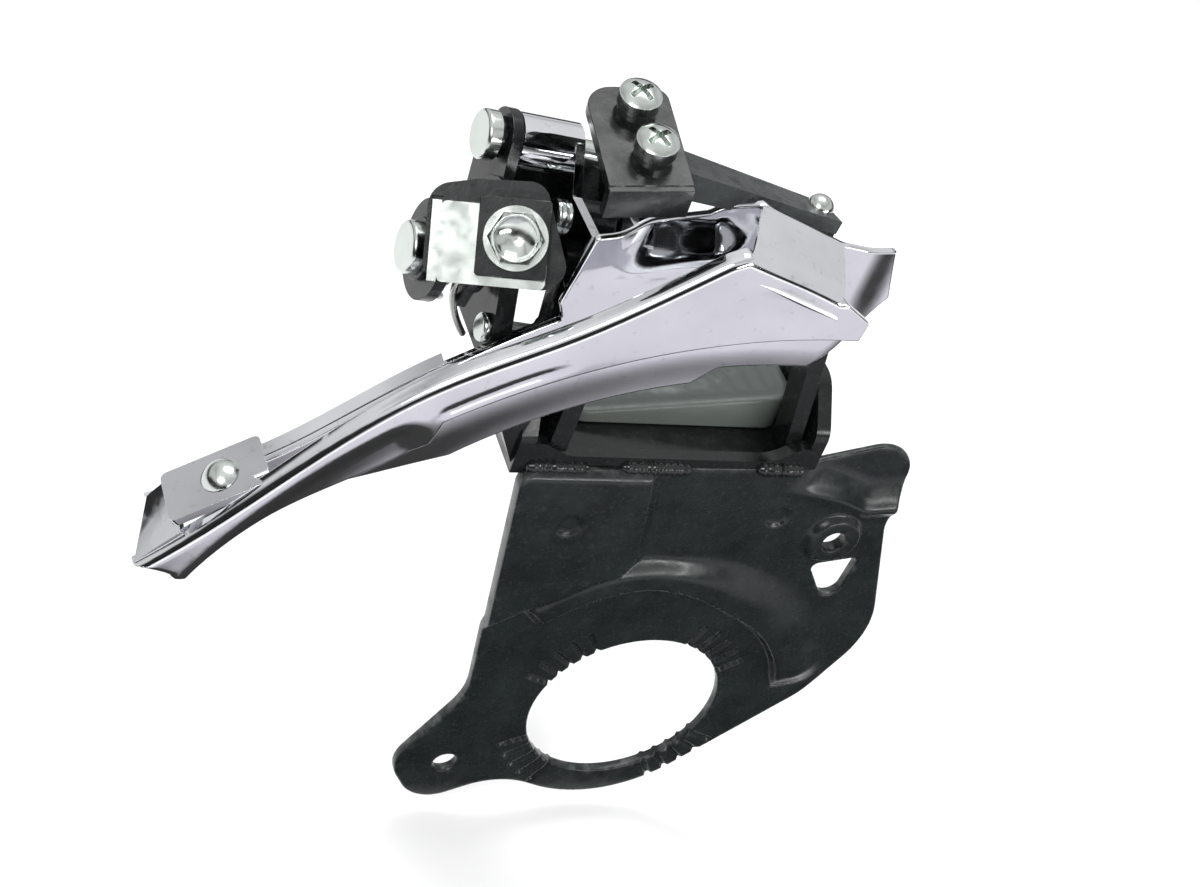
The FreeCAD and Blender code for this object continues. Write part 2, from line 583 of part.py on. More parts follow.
def inner_plate_face(y):
    """Side outline of the inner cage plate with its upright front half."""
    top = cage_strip(INNER_TOP, y)
    shoulder = V(-42.4, y, 93.0)
    corner = V(-40.6, y, 105.0)
    saddle = V(-23.4, y, 108.6)
    crest = V(-17.0, y, 112.8)
    brow = V(-1.6, y, 107.0)
    horn = V(8.2, y, 105.6)
    tip = V(11.0, y, 96.6)
    chin = V(4.4, y, 87.6)
    step_front = polar(83.8, 89.3, y)
    step_rear = polar(83.8, 99.3, y)
    low_front = polar(INNER_EDGE_RADIUS, 102.0, y)
    low_rear = polar(INNER_EDGE_RADIUS, 129.0, y)
    tail_low = polar(101.0, 150.4, y)
    low_edge = Part.Arc(low_front, polar(INNER_EDGE_RADIUS, 115.0, y), low_rear).toShape()
    step_edge = Part.Arc(step_front, polar(83.8, 94.0, y), step_rear).toShape()
    corners = [top[-1], shoulder, corner, saddle, crest, brow, horn, tip, chin, step_front]
    straight = [line(a, b) for a, b in zip(corners[:-1], corners[1:])]
    edges = [curve(top)] + straight + [step_edge, line(step_rear, low_front), low_edge,
                                       line(low_rear, tail_low), line(tail_low, top[0])]
    return Part.Face(Part.Wire(Part.__sortEdges__(edges)))


REAR_ARM = (3.6, 5.1)
FRONT_ARM = (12.0, 13.5)
BARREL = (-4.5, 3.6)


def cage_arm(stations):
    """Upright from the inner plate to both upper pins."""
    eyes = bar(MOVE_IN, 4.2, MOVE_OUT, 3.9, *stations)
    root = INNER_FACE + SHEET - PIVOT_Y
    foot_points = [(root, 5.2), (root, 15.0), (-1.5, 14.6), (2.6, 18.6), (8.0, 13.2), (-0.5, 7.0)]
    foot = cross_plate(foot_points, [0, 0, 0, 0, 0, 0], *stations)
    return fuse([eyes, foot])


def inner_cage_plate():
    """Inner plate, its turned-in upper edge, both pivot arms and the rolled barrel."""
    plate = inner_plate_face(INNER_FACE).extrude(V(0, SHEET, 0))
    wide = top_band(INNER_TOP[1:5], 1.2, INNER_FACE + SHEET).extrude(V(0, RIM_WIDE, 0))
    narrow = top_band(INNER_TOP[4:], 1.2, INNER_FACE + SHEET).extrude(V(0, RIM_NARROW, 0))
    arms = [cage_arm(REAR_ARM), cage_arm(FRONT_ARM)]
    barrel = rod(MOVE_IN, BARREL[0], BARREL[1], 4.2)
    arms = pin_holes(fuse(arms + [barrel]), [MOVE_IN], PIN_RADIUS + RUN_GAP)
    arms = pin_holes(arms, [MOVE_OUT], SMALL_PIN_RADIUS)
    return fuse([plate, wide, narrow, in_links(arms)])


def tail_bridge(outer_plate, rivet):
    """Cross plate that ties the two cage plates at the tail, with the slanting end fold."""
    top = side_plate([(-92.6, 56.4), (-80.0, 65.0), (-80.6, 66.1), (-93.3, 57.5)], [0, 0, 0, 0],
                     OUTER_FACE + SHEET, INNER_FACE)
    fold = Part.makeLoft([
        Part.makePolygon([V(-96.9, OUTER_FACE + SHEET, 49.4), V(-95.9, OUTER_FACE + SHEET, 48.6),
                          V(-90.3, OUTER_FACE + SHEET, 54.8), V(-91.3, OUTER_FACE + SHEET, 55.6),
                          V(-96.9, OUTER_FACE + SHEET, 49.4)]),
        Part.makePolygon([V(-94.4, INNER_FACE, 53.4), V(-93.4, INNER_FACE, 52.6),
                          V(-91.0, INNER_FACE, 56.0), V(-92.0, INNER_FACE, 56.8),
                          V(-94.4, INNER_FACE, 53.4)])], True, True)
    return top.cut(outer_plate).cut(rivet), fold.cut(outer_plate)


def tail_rivet():
    """Domed rivet through the tail bridge."""
    normal = V(-0.56, 0, 0.83).normalize()
    seat = V(-86.3, -8.0, 62.3)
    head = Part.makeSphere(3.4, seat - normal * 1.7)
    keep = Part.makeCylinder(3.4, 3.0, seat + normal * 0.02, normal)
    shank = Part.makeCylinder(1.4, 3.4, seat - normal * 3.0, normal)
    foot = Part.makeCylinder(2.2, 0.9, seat - normal * 2.45, normal)
    return fuse([head.common(keep), shank, foot])


# ---------------------------------------------------------------- write the nodes
plate = mounting_plate()
top_plate = limit_plate()
rivet = cover_rivet()
blade = cover_blade(top_plate, rivet)
save("bb_plate", plate)
save("linkage_bracket", linkage_bracket(plate))
save("front_post", front_post(fuse([blade, rivet])))
save("weld_beads", Part.makeCompound(weld_beads()))
save("frame_pad", frame_pad())
save("limit_screw_plate", top_plate)
save("cover_blade", blade)
save("cover_rivet", rivet)
save("low_limit_screw", limit_screw(0))
save("high_limit_screw", limit_screw(1))
save("inner_link", inner_link())
save("cable_arm", cable_arm())
save("cable_clamp_plate", cable_clamp_plate())
save("clamp_washer", clamp_washer())
save("cable_bolt", cable_bolt())
save("cable_nut", cable_nut())
save("outer_link", outer_link())
save("lower_inner_pin", in_links(headed_pin(FIX_IN, PIN_RADIUS, 3.9, -16.7, -14.6, 22.4, 21.0)))
save("lower_outer_pin", in_links(headed_pin(FIX_OUT, SMALL_PIN_RADIUS, 2.2, -4.2, -3.0, 18.9, 17.8)))
save("upper_inner_pin", in_links(headed_pin(MOVE_IN, PIN_RADIUS, 3.7, -9.8, -7.6, 22.4, 21.0)))
save("upper_outer_pin", in_links(headed_pin(MOVE_OUT, SMALL_PIN_RADIUS, 2.7, 2.3, 3.6, 14.3)))
save("lower_inner_clip", spring_clip(FIX_IN, PIN_RADIUS, 21.05))
save("upper_inner_clip", spring_clip(MOVE_IN, PIN_RADIUS, 21.05))
save("lower_outer_clip", spring_clip(FIX_OUT, SMALL_PIN_RADIUS, 17.85))
save("pin_washer", washer(FIX_IN, PIN_RADIUS, 4.6, -14.6, -13.6))
save("upper_bush", washer(MOVE_IN, PIN_RADIUS, 3.0, -7.6, -6.5))
save("return_spring", return_spring())
outer_plate = outer_cage_plate()
save("outer_cage_plate", outer_plate)
save("inner_cage_plate", inner_cage_plate())
end_rivet = tail_rivet()
bridge, fold = tail_bridge(outer_plate, end_rivet)
save("tail_bridge", bridge)
save("tail_fold", fold)
save("tail_rivet", end_rivet)
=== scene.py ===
import json
import math

import bmesh
import bpy
import numpy as np
from mathutils import Matrix, Vector
from mathutils.geometry import delaunay_2d_cdt


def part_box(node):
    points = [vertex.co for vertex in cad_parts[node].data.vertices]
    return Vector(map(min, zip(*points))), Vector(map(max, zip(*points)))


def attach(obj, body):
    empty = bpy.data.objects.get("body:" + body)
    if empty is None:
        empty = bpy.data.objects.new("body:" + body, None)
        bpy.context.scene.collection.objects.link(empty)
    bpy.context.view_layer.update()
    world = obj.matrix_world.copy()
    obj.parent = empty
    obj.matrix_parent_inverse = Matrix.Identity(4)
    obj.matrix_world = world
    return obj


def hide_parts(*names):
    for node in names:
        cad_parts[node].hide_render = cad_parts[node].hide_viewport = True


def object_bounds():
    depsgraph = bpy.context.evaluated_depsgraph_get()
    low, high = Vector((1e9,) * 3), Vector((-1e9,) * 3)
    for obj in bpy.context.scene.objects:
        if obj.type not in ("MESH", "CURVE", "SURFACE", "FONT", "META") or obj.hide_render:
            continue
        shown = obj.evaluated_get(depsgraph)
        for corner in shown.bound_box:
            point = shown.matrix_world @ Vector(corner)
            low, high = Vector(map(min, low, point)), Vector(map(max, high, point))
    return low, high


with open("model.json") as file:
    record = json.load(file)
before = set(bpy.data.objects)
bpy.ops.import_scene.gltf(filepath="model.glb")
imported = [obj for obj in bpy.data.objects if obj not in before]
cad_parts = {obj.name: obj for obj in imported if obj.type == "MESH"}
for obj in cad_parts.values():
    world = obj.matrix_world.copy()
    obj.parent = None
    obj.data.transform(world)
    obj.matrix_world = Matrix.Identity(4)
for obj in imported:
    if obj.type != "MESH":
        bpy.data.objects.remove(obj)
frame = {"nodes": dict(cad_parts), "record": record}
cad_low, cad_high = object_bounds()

# Looks of a bicycle front derailleur. Shapes are worked out in millimetres in the
# frame's own axes: x forward, y inwards to the seat tube, z up.
MM = 0.001
PLATE_THICK = 2.0           # pressed mounting plate
RELIEF = 2.0                # height of the pressed arch and panel
SHEET = 1.25                # cage steel
OUTER_FACE = -14.0          # y station of the outer cage plate's outer face
INNER_FACE = -3.3           # and of the inner one's

record = frame["record"]
BODY_OF = {node: body for body, nodes in record["behaviour"]["bodies"].items() for node in nodes}
SLOT_OF = {entry["node"]: entry["material_slot"] for entry in record["subparts"]}
rng = np.random.default_rng(7)


# ---------------------------------------------------------------- materials
class Nodes:
    """A node tree, with short ways to add nodes to it."""

    def __init__(self, tree):
        self.tree = tree

    def node(self, kind, **values):
        made = self.tree.nodes.new(kind)
        for name, value in values.items():
            setattr(made, name, value)
        return made

    def join(self, source, target):
        self.tree.links.new(source, target)

    def spread(self, source, low, high, start=0.3, end=0.7):
        """Source values from start to end, spread over low to high."""
        made = self.node("ShaderNodeMapRange")
        made.inputs["From Min"].default_value = start
        made.inputs["From Max"].default_value = end
        made.inputs["To Min"].default_value = low
        made.inputs["To Max"].default_value = high
        self.join(source, made.inputs["Value"])
        return made.outputs["Result"]

    def mix(self, factor, first, second):
        """Blend of two colours, each a tuple or a linked colour."""
        made = self.node("ShaderNodeMix", data_type="RGBA")
        self.join(factor, made.inputs["Factor"])
        for value, target in ((first, made.inputs[6]), (second, made.inputs[7])):
            if isinstance(value, tuple):
                target.default_value = (*value, 1.0)
            else:
                self.join(value, target)
        return made.outputs[2]


class Finish(Nodes):
    """A node material with its shader."""

    def __init__(self, name, metallic, rough, coat=0.0):
        self.material = bpy.data.materials.new(name)
        self.material.use_nodes = True
        super().__init__(self.material.node_tree)
        self.shader = self.tree.nodes["Principled BSDF"]
        self.shader.inputs["Metallic"].default_value = metallic
        self.shader.inputs["Roughness"].default_value = rough
        self.shader.inputs["Coat Weight"].default_value = coat
        self.shader.inputs["Coat Roughness"].default_value = 0.18
        self.place = self.node("ShaderNodeTexCoord").outputs["Object"]

    def noise(self, size, detail=3.0, stretch=(1, 1, 1)):
        """Noise whose features are about size millimetres across."""
        scaled = self.node("ShaderNodeMapping")
        scaled.inputs["Scale"].default_value = stretch
        self.join(self.place, scaled.inputs["Vector"])
        made = self.node("ShaderNodeTexNoise")
        made.inputs["Scale"].default_value = 1.0 / (size * MM)
        made.inputs["Detail"].default_value = detail
        self.join(scaled.outputs[0], made.inputs["Vector"])
        return made.outputs["Fac"]

    def product(self, first, second):
        made = self.node("ShaderNodeMath", operation="MULTIPLY")
        self.join(first, made.inputs[0])
        self.join(second, made.inputs[1])
        return made.outputs[0]

    def bump(self, layers):
        """Stack of bumps, each a (height source, depth in millimetres)."""
        normal = None
        for source, depth in layers:
            made = self.node("ShaderNodeBump")
            made.inputs["Distance"].default_value = depth * MM
            made.inputs["Strength"].default_value = 1.0
            self.join(source, made.inputs["Height"])
            if normal is not None:
                self.join(normal, made.inputs["Normal"])
            normal = made.outputs["Normal"]
        self.join(normal, self.shader.inputs["Normal"])

    def edge_wear(self, amount):
        """Worn places along edges, from the piece's own edge attribute."""
        edge = self.node("ShaderNodeAttribute", attribute_name="edge").outputs["Fac"]
        patches = self.spread(self.noise(2.2, 5.0), 0.0, amount, 0.5, 0.68)
        return self.product(edge, patches)


def coated(name, colour, rough, wear, grain=0.012, coat=0.0):
    """Satin black or grey coating over steel."""
    made = Finish(name, 0.0, rough, coat)
    made.shader.inputs["Specular IOR Level"].default_value = 0.32
    darker = tuple(0.72 * v for v in colour)
    lighter = tuple(min(1.0, 1.3 * v) for v in colour)
    tone = made.mix(made.spread(made.noise(9.0), 0.0, 1.0), darker, lighter)
    worn = made.edge_wear(wear)
    dusty = made.mix(made.spread(made.noise(0.8, 6.0), 0.0, 0.04, 0.55, 0.8), tone, (0.36, 0.35, 0.33))
    made.join(made.mix(worn, dusty, (0.5, 0.5, 0.5)), made.shader.inputs["Base Color"])
    made.join(worn, made.shader.inputs["Metallic"])
    spots = made.spread(made.noise(3.0, 5.0), rough - 0.09, rough + 0.12)
    made.join(spots, made.shader.inputs["Roughness"])
    made.bump([(made.noise(0.5, 2.0), grain), (made.noise(4.0, 2.0), 0.03)])
    return made.material


def plated(name, colour, rough, wave, scratch, grime=0.35):
    """Bright plating with polishing marks and a little dirt."""
    made = Finish(name, 1.0, rough)
    tint = tuple(0.86 * v for v in colour)
    tone = made.mix(made.spread(made.noise(12.0), 0.0, 1.0), tint, colour)
    dirt = made.spread(made.noise(1.4, 6.0), 0.0, grime, 0.62, 0.78)
    made.join(made.mix(dirt, tone, (0.24, 0.23, 0.21)), made.shader.inputs["Base Color"])
    made.join(made.spread(made.noise(2.5, 6.0), rough * 0.6, rough * 1.7), made.shader.inputs["Roughness"])
    lines = made.noise(0.6, 3.0, (0.12, 1.0, 1.6))
    made.bump([(lines, scratch), (made.noise(7.0, 1.0), wave)])
    return made.material


def moulded(name, colour):
    """Matt moulded plastic with a fine spark-eroded grain."""
    made = Finish(name, 0.0, 0.42)
    tone = made.mix(made.spread(made.noise(6.0), 0.0, 1.0), tuple(0.86 * v for v in colour), colour)
    edge = made.node("ShaderNodeAttribute", attribute_name="edge").outputs["Fac"]
    pale = made.spread(edge, 0.0, 0.22, 0.1, 1.0)
    made.join(made.mix(pale, tone, (0.50, 0.54, 0.50)), made.shader.inputs["Base Color"])
    made.join(made.spread(made.noise(1.6, 5.0), 0.34, 0.52), made.shader.inputs["Roughness"])
    made.bump([(made.noise(0.25, 2.0), 0.016), (made.noise(3.0, 2.0), 0.02)])
    return made.material


FINISHES = {
    "plate_black": coated("plate coating", (0.011, 0.0145, 0.0145), 0.25, 0.14),
    "bracket_black": coated("bracket coating", (0.006, 0.007, 0.007), 0.22, 0.2),
    "weld_black": coated("weld coating", (0.008, 0.010, 0.010), 0.17, 0.3, 0.02, coat=0.3),
    "arm_black": coated("arm coating", (0.008, 0.0095, 0.010), 0.24, 0.25),
    "cover_grey": coated("cover coating", (0.050, 0.056, 0.056), 0.27, 0.3, 0.006),
    "pad_grey": moulded("pad plastic", (0.060, 0.076, 0.068)),
    "chrome": plated("chrome plating", (0.77, 0.78, 0.80), 0.06, 0.016, 0.0008),
    "zinc": plated("zinc plating", (0.60, 0.64, 0.61), 0.17, 0.002, 0.001, 0.12),
    "spring_steel": plated("spring wire", (0.52, 0.52, 0.50), 0.26, 0.004, 0.004, 0.7),
}


# ---------------------------------------------------------------- building pieces
def add_piece(name, node, mesh):
    """Add a piece that stands for its CAD node, on the same body, in the same finish."""
    piece = bpy.data.objects.new(name, mesh)
    piece.data.materials.append(FINISHES[SLOT_OF[node]])
    bpy.context.collection.objects.link(piece)
    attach(piece, BODY_OF[node])
    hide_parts(node)
    return piece


def smooth(mesh, degrees):
    mesh.polygons.foreach_set("use_smooth", [True] * len(mesh.polygons))
    mesh.set_sharp_from_angle(angle=math.radians(degrees))


def millimetres(node):
    """Corner places of a CAD node, in millimetres."""
    return np.array([v.co for v in frame["nodes"][node].data.vertices], float) / MM


def closed_mesh(name, verts, faces, degrees):
    """Closed mesh from places in millimetres, faces outward, shaded smooth up to an angle."""
    mesh = bpy.data.meshes.new(name)
    mesh.from_pydata([tuple(c * MM for c in v) for v in verts], [], faces)
    outward = bmesh.new()
    outward.from_mesh(mesh)
    bmesh.ops.recalc_face_normals(outward, faces=outward.faces)
    outward.to_mesh(mesh)
    outward.free()
    smooth(mesh, degrees)
    return mesh


SHARP_ANGLE = 32.0          # an edge that turns more than this is rounded
MERGE_WITHIN = 0.002        # corners this close are one


def sharp_edges(shape):
    paired = [e for e in shape.edges if len(e.link_faces) == 2]
    return [e for e in paired if e.calc_face_angle() > math.radians(SHARP_ANGLE)]


def bevelled(node, width, steps=2, cut_below=None, corner=0.0):
    """Mesh of a CAD node with rounded edges. cut_below keeps only what lies past a y station.

    corner is the radius for a sheet's outline corners, where edges are as long as it is thick."""
    shape = bmesh.new()
    shape.from_mesh(frame["nodes"][node].data)
    bmesh.ops.scale(shape, vec=(1 / MM,) * 3, verts=shape.verts)
    bmesh.ops.remove_doubles(shape, verts=shape.verts, dist=MERGE_WITHIN)
    if cut_below is not None:
        whole = shape.verts[:] + shape.edges[:] + shape.faces[:]
        cut = bmesh.ops.bisect_plane(shape, geom=whole, plane_co=(0, cut_below, 0), plane_no=(0, 1, 0),
                                     clear_inner=True)
        rim = [e for e in cut["geom_cut"] if isinstance(e, bmesh.types.BMEdge)]
        bmesh.ops.holes_fill(shape, edges=rim)
    bmesh.ops.dissolve_limit(shape, angle_limit=math.radians(1.0), verts=shape.verts, edges=shape.edges)
    if corner:
        short = [e for e in sharp_edges(shape) if abs(e.calc_length() - SHEET) < 0.1]
        bmesh.ops.bevel(shape, geom=short, offset=corner, offset_type="OFFSET", segments=5,
                        profile=0.5, affect="EDGES", clamp_overlap=True)
    sharp = sharp_edges(shape)
    layer = shape.faces.layers.float.new("edge")
    made = bmesh.ops.bevel(shape, geom=sharp, offset=width, offset_type="OFFSET", segments=steps,
                           profile=0.5, affect="EDGES", clamp_overlap=True)
    for face in made["faces"]:
        face[layer] = 1.0
    bmesh.ops.scale(shape, vec=(MM,) * 3, verts=shape.verts)
    mesh = bpy.data.meshes.new(node)
    shape.to_mesh(mesh)
    shape.free()
    smooth(mesh, 50)
    return mesh


def add_bevelled(name, node, width, **shape):
    piece = add_piece(name, node, bevelled(node, width, **shape))
    weighted = piece.modifiers.new("normals", "WEIGHTED_NORMAL")
    weighted.keep_sharp = True


def flat_loops(node, across, station):
    """Edge loops of a node's flat face at a station along one axis, in its other two axes."""
    places = millimetres(node)
    keep = [k for k in range(3) if k != across]
    keys = [tuple(np.round(p, 3)) for p in places]
    counts = {}
    for face in frame["nodes"][node].data.polygons:
        corners = [keys[i] for i in face.vertices]
        if all(abs(c[across] - station) < 0.004 for c in corners):
            for a, b in zip(corners, corners[1:] + corners[:1]):
                counts[(a, b)] = counts.get((a, b), 0) + 1
    follow = {}
    for (a, b) in counts:
        if (b, a) not in counts and a != b:
            follow[a] = b
    loops = []
    while follow:
        start = next(iter(follow))
        loop = [start]
        here = follow.pop(start)
        while here != start and here in follow:
            loop.append(here)
            here = follow.pop(here)
        if len(loop) > 3:
            loops.append(np.array([[p[keep[0]], p[keep[1]]] for p in loop]))
    loops.sort(key=lambda l: -abs(area(l)))
    return [oriented(loop, 1 if i == 0 else -1) for i, loop in enumerate(loops)]


def area(loop):
    after = np.roll(loop, -1, axis=0)
    return 0.5 * float(np.sum(loop[:, 0] * after[:, 1] - loop[:, 1] * after[:, 0]))


def oriented(loop, sign):
    return loop if area(loop) * sign > 0 else loop[::-1]


def resampled(loop, spacing):
    """Loop with long stretches split and crowded points dropped, corners kept."""
    kept = []
    count = len(loop)
    for i in range(count):
        before, here, after = loop[i - 1], loop[i], loop[(i + 1) % count]
        a, b = here - before, after - here
        turn = abs(math.atan2(a[0] * b[1] - a[1] * b[0], float(a @ b)))
        far = not kept or np.linalg.norm(here - kept[-1]) > spacing * 0.35
        if turn > 0.35 or far:
            kept.append(here)
    points = []
    for i, here in enumerate(kept):
        after = kept[(i + 1) % len(kept)]
        parts = max(1, int(math.ceil(np.linalg.norm(after - here) / spacing)))
        points += [here + (after - here) * k / parts for k in range(parts)]
    return np.array(points)


def inset(loop, distance):
    """Loop moved to its left by a distance."""
    ahead = np.roll(loop, -1, axis=0) - loop
    ahead /= np.linalg.norm(ahead, axis=1)[:, None]
    behind = np.roll(ahead, 1, axis=0)
    side = np.stack([-(ahead + behind)[:, 1], (ahead + behind)[:, 0]], axis=1)
    length = np.maximum(np.linalg.norm(side, axis=1), 0.6)
    return loop + side / length[:, None] * distance * (2.0 / length)[:, None].clip(0.5, 1.6)


def segment_distance(points, ends):
    """Distance from each point to the nearest of some segments, each a pair of ends."""
    nearest = np.full(len(points), 1e9)
    for a, b in ends:
        line = b - a
        share = (((points - a) @ line) / (line @ line)).clip(0, 1)
        nearest = np.minimum(nearest, np.linalg.norm(points - a - share[:, None] * line, axis=1))
    return nearest


def edge_distance(points, loops):
    """Distance from each point to the nearest loop edge."""
    return segment_distance(points, [ends for loop in loops for ends in zip(loop, np.roll(loop, -1, axis=0))])


def inside(points, loops):
    """Whether each point is inside the first loop and outside the others."""
    crossings = np.zeros(len(points), int)
    for loop in loops:
        for a, b in zip(loop, np.roll(loop, -1, axis=0)):
            spans = (a[1] > points[:, 1]) != (b[1] > points[:, 1])
            level = b[1] - a[1] if b[1] != a[1] else 1.0
            reach = a[0] + (points[:, 1] - a[1]) / level * (b[0] - a[0])
            crossings += spans & (points[:, 0] < reach)
    return crossings % 2 == 1


RING_SHARES = (0.0, 0.1, 0.3, 0.6, 1.0)     # rings of points over a rounded edge, as shares of its radius
WEAR_REACH = 0.35                           # how far wear reaches in from an edge


def inner_grid(loops, spacing, margin, fine):
    """Grid of points inside the loops, twice as close where fine says so."""
    low, high = loops[0].min(axis=0), loops[0].max(axis=0)
    half = spacing / 2.0
    across = np.arange(low[0], high[0], half)
    up = np.arange(low[1], high[1], half)
    column, row = np.meshgrid(np.arange(len(across)), np.arange(len(up)), indexing="ij")
    grid = np.stack([across[column] + 0.25 * half * (row % 2), up[row]], axis=-1).reshape(-1, 2)
    coarse = ((column % 2 == 0) & (row % 2 == 0)).reshape(-1)
    wanted = coarse if fine is None else coarse | fine(grid)
    grid = grid[wanted]
    grid = grid[inside(grid, loops)]
    return grid[edge_distance(grid, loops) > margin]


def triangulated(loops, steps, grid):
    """Triangles over the loops, with rings of points at steps inwards and a grid inside.

    Gives the points, the triangles and each loop as numbers of points."""
    points, edges, outlines = [], [], []
    start = 0
    for step in steps:
        for loop in loops:
            ring = loop if step == 0.0 else inset(loop, step)
            numbers = list(range(start, start + len(ring)))
            edges += list(zip(numbers, numbers[1:] + numbers[:1]))
            if step == 0.0:
                outlines.append(numbers)
            points.append(ring)
            start += len(ring)
    flat = np.concatenate(points + [grid])
    found = delaunay_2d_cdt([Vector(p) for p in flat], edges, [], 0, 1e-6, True)
    spots = np.array([tuple(p) for p in found[0]])
    index = {source: i for i, sources in enumerate(found[3]) for source in sources}
    triangles = np.array([f for f in found[2] if len(f) == 3])
    triangles = triangles[inside(spots[triangles].mean(axis=1), loops)]
    return spots, triangles, [[index[i] for i in numbers] for numbers in outlines]


def pressed_mesh(name, loops, front, back, place, spacing, rounding, fine=None, extra=()):
    """Closed sheet between two height fields over an outline, with rounded edges.

    front and back give the height of each point; place turns points and heights into the frame.
    fine says where the grid is twice as close, and extra gives more rings of points along the edge."""
    loops = [resampled(loop, spacing) for loop in loops]
    steps = [share * rounding for share in RING_SHARES] + list(extra)
    grid = inner_grid(loops, spacing, steps[-1] + 0.4 * spacing, fine)
    spots, triangles, outlines = triangulated(loops, steps, grid)
    distance = edge_distance(spots, loops)
    near = (rounding - distance).clip(0, rounding)
    drop = rounding - np.sqrt(rounding ** 2 - near ** 2)
    count = len(spots)
    verts = np.concatenate([place(spots, front(spots) - drop), place(spots, back(spots) + drop)])
    faces = [tuple(t) for t in triangles] + [tuple(count + i for i in reversed(t)) for t in triangles]
    for numbers in outlines:
        for a, b in zip(numbers, numbers[1:] + numbers[:1]):
            if a != b:
                faces.append((b, a, count + a, count + b))
    mesh = closed_mesh(name, verts, faces, 80)
    wear = np.exp(-distance / WEAR_REACH)
    mesh.attributes.new("edge", "FLOAT", "POINT").data.foreach_set("value", np.concatenate([wear, wear]))
    return mesh


def step_up(value, start, end):
    """Smooth rise from 0 at start to 1 at end."""
    share = ((value - start) / (end - start)).clip(0, 1)
    return share * share * (3 - 2 * share)


def side_place(points, heights):
    """Side view: (x, z) points, with heights towards the outside."""
    return np.stack([points[:, 0], -heights, points[:, 1]], axis=1)


def plan_place(points, heights):
    """Plan view: (x, y) points, with heights upwards."""
    return np.stack([points[:, 0], points[:, 1], heights], axis=1)


def crank_polar(points):
    """Radius and angle in degrees about the crank axis."""
    return np.hypot(points[:, 0], points[:, 1]), np.degrees(np.arctan2(points[:, 1], points[:, 0]))


def signed_inside(points, loop):
    """Distance to a loop, positive inside it."""
    loop = oriented(np.array(loop, float), 1)
    distance = edge_distance(points, [loop])
    return np.where(inside(points, [loop]), distance, -distance)


# ---------------------------------------------------------------- mounting plate
PANEL = [(-44.0, 57.0), (-14.9, 57.0), (-13.0, 47.0), (-11.9, 38.5), (-13.6, 35.2), (-17.5, 33.4),
         (-21.7, 30.3), (-27.8, 27.1), (-33.6, 22.8), (-44.0, 17.0)]
DIMPLES = [(-25.9, 47.0), (11.9, 47.8)]
FRONT_HOLE = (24.0, 43.4)
GROOVE_GROUPS = (50.0, 140.0, 222.0, 318.0)
GROOVE_PITCH = 8.5
GROOVE_DEPTH = 0.7
ARCH_RIM = 27.7             # inner radius of the arch at its front end
ARCH_SPREAD = 5.4           # it is this much larger at its rear end
ARCH_OUTSIDE = 38.6
BOSS_HEIGHT = 1.3
DIMPLE_DEPTH = 0.55
TAB_LIP = 0.9
TAB_FALL = 1.7


def plate_height(points):
    """Height of the pressed plate's outer face."""
    radius, angle = crank_polar(points)
    rim = ARCH_RIM + ARCH_SPREAD * step_up(angle, 62.0, 112.0)
    span = step_up(angle, 9.0, 20.0) * (1 - step_up(angle, 133.0, 137.5))
    flank = 1 - step_up(radius, rim + 3.2, np.maximum(ARCH_OUTSIDE, rim + 7.0))
    arch = step_up(radius, rim - 1.0, rim + 0.4) * flank * span
    panel = step_up(signed_inside(points, PANEL), -2.7, 0.5)
    ridge = step_up(angle, 108.0, 122.0) * step_up(radius, rim - 0.9, rim + 0.3) * span
    slope = 0.75 * ridge * (1 - step_up(radius, rim + 1.0, rim + 9.0))
    height = RELIEF * np.maximum(np.maximum(arch, panel), slope)
    hole = np.hypot(points[:, 0] - FRONT_HOLE[0], points[:, 1] - FRONT_HOLE[1])
    seat = BOSS_HEIGHT * (1 - step_up(hole, 4.3, 5.6))
    height = np.maximum(height, seat)
    bend = 53.9 - 0.017 * (points[:, 0] - 12.0) ** 2 + 5.2 * step_up(points[:, 0], 26.0, 36.0)
    tab = step_up(points[:, 0], 10.0, 17.0)
    lip = TAB_LIP * np.exp(-((points[:, 1] - bend) / 1.3) ** 2)
    height = height + tab * (lip - TAB_FALL * step_up(points[:, 1], bend + 0.5, bend + 6.0))
    for x, z in DIMPLES:
        reach = np.hypot(points[:, 0] - x, points[:, 1] - z)
        height = height - DIMPLE_DEPTH * (1 - step_up(reach, 1.75, 2.25))
    for group in GROOVE_GROUPS:
        for step in range(-2, 3):
            middle = math.radians(group + GROOVE_PITCH * step)
            along = points[:, 0] * math.cos(middle) + points[:, 1] * math.sin(middle)
            aside = np.abs(points[:, 1] * math.cos(middle) - points[:, 0] * math.sin(middle))
            groove = (1 - step_up(aside, 0.25, 0.55)) * (1 - step_up(along, 22.2, 23.4)) * (along > 0)
            height = height - GROOVE_DEPTH * groove
    return height


def plate_fine(points):
    """Close grid where the plate's relief is steep, and round the hole."""
    radius, _ = crank_polar(points)
    shift = np.array([0.5, 0.0])
    rise = np.array([0.0, 0.5])
    here = plate_height(points)
    slope = np.abs(plate_height(points + shift) - here) + np.abs(plate_height(points + rise) - here)
    return (slope > 0.05) | (radius < 24.2)


def add_plate():
    loops = flat_loops("bb_plate", 1, PLATE_THICK)
    mesh = pressed_mesh("bb_plate", loops, plate_height, lambda p: plate_height(p) * 0.55 - PLATE_THICK,
                        side_place, 0.64, 0.42, plate_fine)
    add_piece("bb_plate_look", "bb_plate", mesh)


# ---------------------------------------------------------------- cage
LIP = 1.5                   # radius of the rolled upper edge


def chain_of(loop, test):
    """Loop points that pass a test, as an open chain in order."""
    passed = [test(p) for p in loop]
    start = next(i for i in range(len(loop)) if passed[i] and not passed[i - 1])
    chain = []
    for k in range(len(loop)):
        if not passed[(start + k) % len(loop)]:
            break
        chain.append(loop[(start + k) % len(loop)])
    return np.array(chain)


